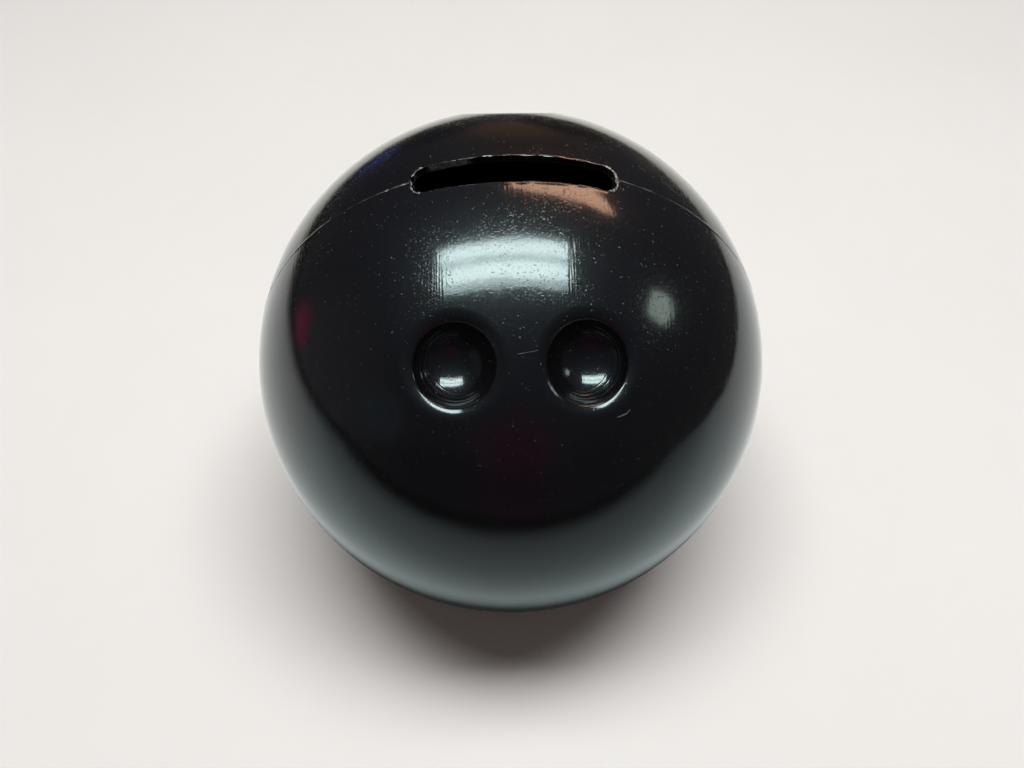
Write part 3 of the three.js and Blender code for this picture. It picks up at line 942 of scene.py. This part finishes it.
def ball_point(px, py):
    """Where the photograph-style view line through that picture point meets the ball, in mm in the row frame."""
    v = np.array([(px - 512) / 829.0, -(py - 384) / 829.0, -1.0])
    v = v @ np.array([CAM_RIGHT, CAM_UP, CAM_BACK])
    v = v / np.linalg.norm(v)
    o = np.array(CAM_AT) * 1000 - np.array([0, 0, ZC])
    bb = v @ o
    t = -bb - math.sqrt(bb * bb - (o @ o - R * R))
    return o + v * t + np.array([0, 0, ZC])


# ---------------------------------------------------------------- camera
CAM_AT = (-0.007276, -0.150951, 0.252843)
CAM_RIGHT = (0.99930846, -0.03505336, 0.01240429)
CAM_UP = (0.02034685, 0.79472098, 0.60663380)
CAM_BACK = (-0.03112251, -0.60596190, 0.79488462)

cam = bpy.data.cameras.new("camera")
cam.lens = 829.0 / 1024.0 * 36.0
cam.sensor_width = 36.0
cam.clip_start = 0.01
cam.clip_end = 20.0
cam_ob = bpy.data.objects.new("camera", cam)
bpy.context.scene.collection.objects.link(cam_ob)
m = Matrix.Identity(4)
for i in range(3):
    m[i][0], m[i][1], m[i][2], m[i][3] = CAM_RIGHT[i], CAM_UP[i], CAM_BACK[i], CAM_AT[i]
cam_ob.matrix_world = m
bpy.context.scene.camera = cam_ob

# scuffs on the front half, placed on the surface
front_marks = [
    (ball_point(518, 354), ball_point(540, 350), 0.07, 0.30),
    (ball_point(597, 412), ball_point(608, 405), 0.09, 0.5),
    (ball_point(618, 417), ball_point(626, 414), 0.12, 0.6),
    (ball_point(626, 414), ball_point(630, 410), 0.10, 0.5),
    (ball_point(450, 222), ball_point(500, 216), 0.06, 0.10),
    (ball_point(500, 216), ball_point(555, 217), 0.06, 0.10),
]
mat_front = shell_material("gloss_black_plastic_front", (3.0, 1.0, 2.0), None, front_marks)
mat_rear = shell_material("gloss_black_plastic_rear", (43.0, 21.0, 12.0), None, [])
mat_vinyl = vinyl_material("matte_vinyl")

for ob, mat, nodes, body, slot in (
        (front, mat_front, ["front_shell"], "shell", "shell_front"),
        (rear, mat_rear, ["rear_shell"], "shell", "shell_rear"),
        (tongue, mat_rear, [], "shell", "shell_rear"),
        (stopper, mat_vinyl, ["base_stopper"], "stopper", "stopper")):
    ob.data.materials.append(mat)
    if nodes:
        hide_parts(*nodes)
    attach(ob, body)

# ---------------------------------------------------------------- stage
scene = bpy.context.scene


def one_sided(g, shader):
    """The floor is there from above only, and open where the foot hides it, so that the foot can be looked at from below."""
    geo = g.add("ShaderNodeNewGeometry")
    place = g.add("ShaderNodeTexCoord")
    opening = g.math("LESS_THAN", g.vec("LENGTH", place.outputs["Object"]), 0.0235)
    clear = g.add("ShaderNodeBsdfTransparent")
    m = g.add("ShaderNodeMixShader")
    g.link(g.math("MAXIMUM", geo.outputs["Backfacing"], opening), m.inputs[0])
    g.link(shader, m.inputs[1])
    g.link(clear.outputs[0], m.inputs[2])
    g.link(m.outputs[0], g.out.inputs[0])


def floor_piece(name, boxes, albedo, glossy=True):
    V, F = [], []
    for x0, y0, x1, y1 in boxes:
        k = len(V)
        V += [(x0, y0, 0), (x1, y0, 0), (x1, y1, 0), (x0, y1, 0)]
        F.append((k, k + 1, k + 2, k + 3))
    me = bpy.data.meshes.new(name)
    me.from_pydata(V, [], F)
    ob = bpy.data.objects.new(name, me)
    scene.collection.objects.link(ob)
    mat = bpy.data.materials.new(name)
    g = Nodes(mat)
    tc = g.add("ShaderNodeTexCoord")
    n = g.noise(tc.outputs["Object"], 9.0, 4.0, 0.6)
    a, b2 = [tuple(c * k for c in albedo) + (1,) for k in (0.97, 1.03)]
    b = g.add("ShaderNodeBsdfPrincipled")
    g.put(b.inputs["Base Color"], g.mix(n, a, b2))
    b.inputs["Roughness"].default_value = 0.9
    b.inputs["Specular IOR Level"].default_value = 0.1
    # the room evens out the light on the floor further off
    b.inputs["Emission Color"].default_value = (1.0, 0.995, 0.985, 1)
    g.put(b.inputs["Emission Strength"], g.ramp(g.vec("LENGTH", tc.outputs["Object"]), 0.32, 1.9, 0.0, 0.64, "SMOOTHERSTEP"))
    one_sided(g, b.outputs[0])
    me.materials.append(mat)
    ob.location = (0, 0, -0.00002)
    ob.visible_glossy = glossy
    return ob


FAR = 4.0
PALE = (0.855, 0.85, 0.84)
floor_piece("floor", [(-FAR, -FAR, FAR, FAR)], PALE, glossy=False)

# the sheet of floor the gloss sees, a glowing painted reflection: pale, falling off to the front (painted shade) and
# to the sides, dark under the ball (a painted shadow)
sheet = floor_piece("floor_sheen", [(-0.75, -0.36, 0.52, 0.70)], PALE)
sheet.location = (0, 0, -0.00001)
sheet.visible_camera = sheet.visible_diffuse = sheet.visible_shadow = sheet.visible_transmission = False
g = Nodes(sheet.data.materials[0])
tc = g.add("ShaderNodeTexCoord")
sx = g.add("ShaderNodeSeparateXYZ")
g.link(tc.outputs["Object"], sx.inputs[0])
gx, gy = sx.outputs[0], sx.outputs[1]
# painted shade: the reflected floor darkens towards the front
front_fall = g.math("MULTIPLY", g.ramp(gy, -0.085, -0.125, 1.0, 0.74, "LINEAR"), g.ramp(gy, -0.125, -0.185, 1.0, 0.76, "LINEAR"))
front_end = g.ramp(g.math("ADD", gy, g.math("MULTIPLY", gx, 0.07)), -0.185, -0.285)
front_end = g.math("SUBTRACT", 1.0, front_end)
right_edge = g.math("ADD", gx, g.math("MULTIPLY", g.math("MINIMUM", gy, 0.0), 0.27))
right_end = g.math("MULTIPLY", g.ramp(right_edge, 0.405, 0.375), g.ramp(gx, 0.16, 0.38, 1.0, 0.74, "LINEAR"))
left_edge = g.math("SUBTRACT", gx, g.math("MULTIPLY", g.math("MAXIMUM", g.math("SUBTRACT", gy, 0.15), 0.0), 1.0))
left_end = g.math("MULTIPLY", g.ramp(left_edge, -0.60, -0.37), g.ramp(gx, -0.18, -0.55, 1.0, 0.58, "LINEAR"))
rear_end = g.ramp(gy, 0.62, 0.48)
# painted shadow: the reflected floor goes dark under the ball
under = g.ramp(g.vec("LENGTH", tc.outputs["Object"]), 0.063, 0.090, 0.03, 1.0)
level = under
for f in (front_fall, front_end, right_end, left_end, rear_end):
    level = g.math("MULTIPLY", level, f)
em = g.add("ShaderNodeEmission")
tone = g.mix(g.ramp(gy, -0.10, 0.02), (0.70, 0.845, 0.845, 1), (0.95, 0.98, 0.965, 1))
tone = g.mix(g.ramp(gy, 0.10, 0.35), tone, (0.96, 0.95, 0.86, 1))
g.put(em.inputs["Color"], tone)
g.put(em.inputs["Strength"], level)
one_sided(g, em.outputs[0])


def area(name, at, size, power, colour, aim=(0, 0, ZC * MM), diffuse=True, glossy=True, spread=None):
    li = bpy.data.lights.new(name, "AREA")
    li.shape = "RECTANGLE"
    li.size, li.size_y = size
    li.energy = power
    li.color = colour
    if spread is not None:
        li.spread = math.radians(spread)
    ob = bpy.data.objects.new(name, li)
    scene.collection.objects.link(ob)
    ob.location = at
    d = Vector(aim) - Vector(at)
    ob.rotation_euler = d.to_track_quat("-Z", "Y").to_euler()
    ob.visible_diffuse = diffuse
    ob.visible_glossy = glossy
    ob.visible_camera = False
    return ob


def radiance(size, level):
    return math.pi * size[0] * size[1] * level


H = 1.1
c = ZC * MM
# the two tubes of the ceiling lamp, as the gloss sees them
for i, (y, w, lv) in enumerate(((-0.024, 0.135, 11.5), (0.156, 0.110, 11.0))):
    size = (0.985, w)
    area("tube_%d" % i, (-0.072, y, c + H), size, radiance(size, lv), (0.80, 1.0, 0.965), aim=(-0.072, y, c), diffuse=False)
size = (1.01, 0.425)
area("tube_glow", (-0.072, 0.040, c + H + 0.01), size, radiance(size, 9.6), (0.76, 0.98, 1.0), aim=(-0.072, 0.040, c), diffuse=False)
# the soft light that falls on the floor and the ball
area("soft_key", (0.03, 0.05, c + H), (1.0, 0.36), 14.35, (1.0, 0.99, 0.972), aim=(0.03, 0.03, c), glossy=False)

# light from below for the foot and the pulled stopper; the floor keeps it from everything above
area("under_fill", (0.10, -0.12, -0.50), (0.5, 0.5), 2.2, (1.0, 0.995, 0.98), aim=(0, 0, 0))


def glow_patch(name, dirs, dist, colour, level):
    """A flat shape far off, seen only in the gloss: the corners are directions from the ball's centre."""
    V = [tuple(unit(np.array(d)) * dist + np.array([0, 0, c])) for d in dirs]
    me = bpy.data.meshes.new(name)
    me.from_pydata(V, [], [tuple(range(len(V)))])
    ob = bpy.data.objects.new(name, me)
    scene.collection.objects.link(ob)
    mat = bpy.data.materials.new(name)
    g = Nodes(mat)
    em = g.add("ShaderNodeEmission")
    em.inputs["Color"].default_value = tuple(colour) + (1,)
    em.inputs["Strength"].default_value = level
    g.link(em.outputs[0], g.out.inputs[0])
    me.materials.append(mat)
    ob.visible_camera = ob.visible_diffuse = ob.visible_shadow = ob.visible_transmission = False
    return ob


def sky_dir(az, el):
    a, e = math.radians(az), math.radians(el)
    return (math.cos(a) * math.cos(e), math.sin(a) * math.cos(e), math.sin(e))


# a small pale window to the right, and a warm lit wall behind
glow_patch("side_window", [sky_dir(-6, 35), sky_dir(-7, 26), sky_dir(0, 23.5), sky_dir(7, 25.5), sky_dir(6, 34)], 2.5, (0.80, 1.0, 0.88), 4.2)
glow_patch("warm_wall", [sky_dir(*v) for v in ((91, 50.4), (88, 51.8), (82, 52.6), (72, 52.4), (62, 50.6), (53, 47.4), (45, 43.8), (40.5, 40.8), (43, 39.2), (48, 38.4), (56, 37.2), (70, 38.5), (90, 43))], 2.5, (1.0, 0.58, 0.37), 8.4)

world = bpy.data.worlds.new("room")
scene.world = world
g = Nodes.__new__(Nodes)
world.use_nodes = True
g.t = world.node_tree
g.t.nodes.clear()
g.out = g.add("ShaderNodeOutputWorld")
tc = g.add("ShaderNodeTexCoord")
sp = g.add("ShaderNodeSeparateXYZ")
g.link(tc.outputs["Generated"], sp.inputs[0])
z = sp.outputs[2]
sky = g.mix(g.ramp(z, -0.17, 0.17, kind="LINEAR"), (0.046, 0.046, 0.050, 1), (0.062, 0.065, 0.078, 1))
sky = g.mix(g.ramp(z, 0.17, 0.64, kind="LINEAR"), sky, (0.072, 0.088, 0.120, 1))
sky = g.mix(g.ramp(z, 0.60, 0.90, kind="LINEAR"), sky, (0.072, 0.096, 0.130, 1))


def blob(sky, az, el, near, far, colour, k=0.72):
    dot = g.vec("DOT_PRODUCT", tc.outputs["Generated"], sky_dir(az, el))
    f = g.ramp(dot, math.cos(math.radians(far)), math.cos(math.radians(near)))
    return g.mix(f, sky, tuple(k * v for v in colour) + (1,))


# dull coloured things standing about the room
sky = blob(sky, 185, 5, 8, 34, (0.16, 0.17, 0.19))
sky = blob(sky, 212, 10, 2, 14, (0.14, 0.20, 0.24))
sky = blob(sky, 118, 6, 3, 22, (0.060, 0.058, 0.078))
sky = blob(sky, 242, -5, 5, 24, (0.042, 0.042, 0.062))
sky = blob(sky, 300, -3, 4, 20, (0.055, 0.052, 0.070))
sky = blob(sky, 84, 14, 4, 24, (0.115, 0.092, 0.076))
sky = blob(sky, 88, 8, 2, 12, (0.260, 0.160, 0.112))
sky = blob(sky, 77, -4, 4, 12, (0.030, 0.025, 0.021))
sky = blob(sky, 103, -2, 3, 11, (0.028, 0.026, 0.030))
sky = blob(sky, 62, -4, 1, 5, (0.150, 0.128, 0.080))
sky = blob(sky, 270, 15, 3, 21, (0.195, 0.058, 0.125))
sky = blob(sky, 270, -8, 5, 22, (0.088, 0.038, 0.072))
sky = blob(sky, 162, -5, 2, 8, (0.72, 0.07, 0.22))
sky = blob(sky, 113, -8, 1, 6, (0.03, 0.07, 0.46))
# the gloss sees the room; the soft fill on floor and vinyl is a plain warm grey; behind everything it is pale
lp = g.add("ShaderNodeLightPath")
plain = g.mix(lp.outputs["Is Diffuse Ray"], (0.78, 0.775, 0.765, 1), (0.072, 0.048, 0.042, 1))
sky = g.mix(lp.outputs["Is Glossy Ray"], plain, sky)
bg = g.add("ShaderNodeBackground")
g.put(bg.inputs[0], sky)
bg.inputs[1].default_value = 1.0
g.link(bg.outputs[0], g.out.inputs[0])

scene.view_settings.view_transform = "Standard"
scene.view_settings.look = "None"
scene.view_settings.exposure = 0.0
scene.view_settings.gamma = 1.0

bpy.context.view_layer.update()
